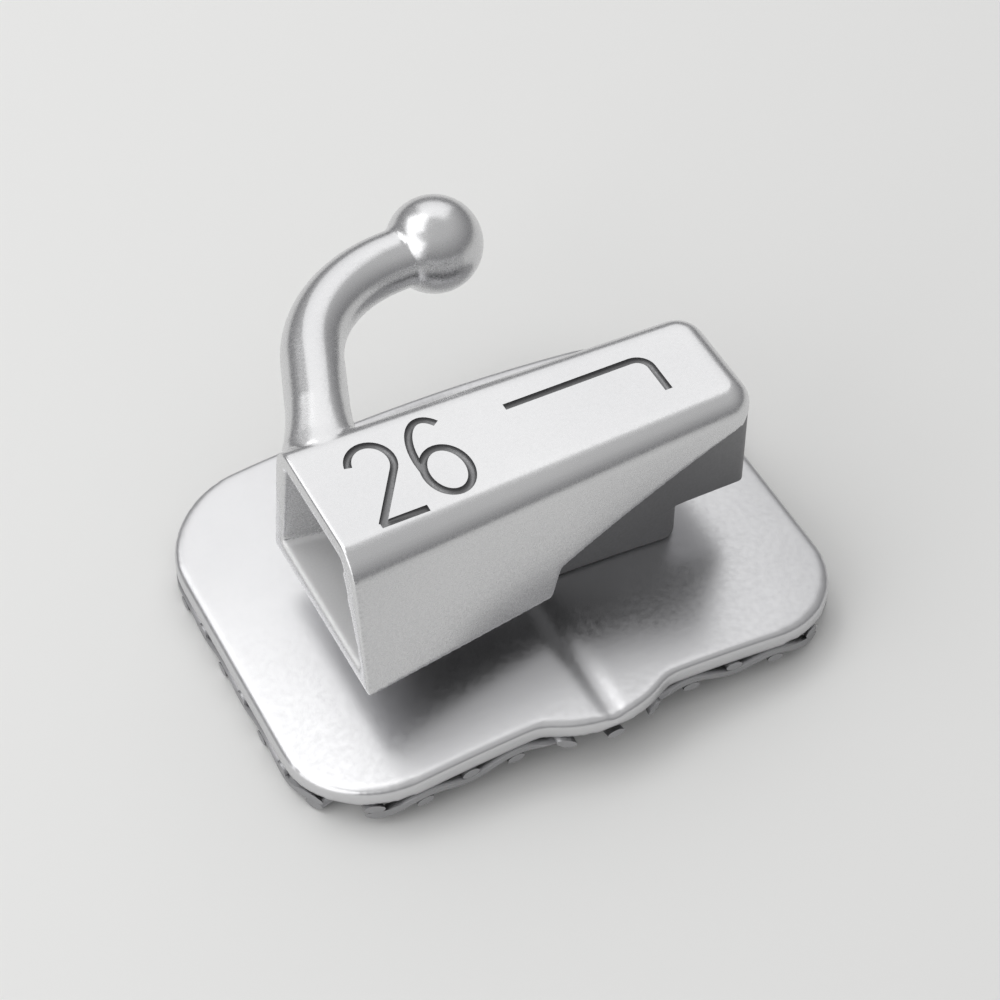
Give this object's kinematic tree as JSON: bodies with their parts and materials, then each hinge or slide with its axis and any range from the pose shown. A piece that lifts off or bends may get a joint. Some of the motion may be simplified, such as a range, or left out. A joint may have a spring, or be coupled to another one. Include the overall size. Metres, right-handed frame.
{
  "type": "buccal tube",
  "caption": "Bondable single molar buccal tube with a flared mouth, a rectangular archwire passage, a ball-ended gingival hook and a curved woven-mesh bonding base.",
  "frame": {"origin": "middle of the bonding base's outline, on the plane of its rim", "axes": "+X from the mesial mouth to the distal end, along the archwire; +Y from the occlusal edge to the gingival hook; +Z away from the tooth, to the cheek"},
  "size_m": [0.0052, 0.005, 0.0023],
  "materials": {
    "cast_steel": "bright satin, tumbled and polished",
    "plate_steel": "bright satin rolled sheet",
    "wire_cloth": "dull annealed wire"
  },
  "bodies": {
    "root": {"tube_body": "cast_steel", "base_pad": "plate_steel", "bonding_mesh": "wire_cloth"}
  },
  "joints": []
}
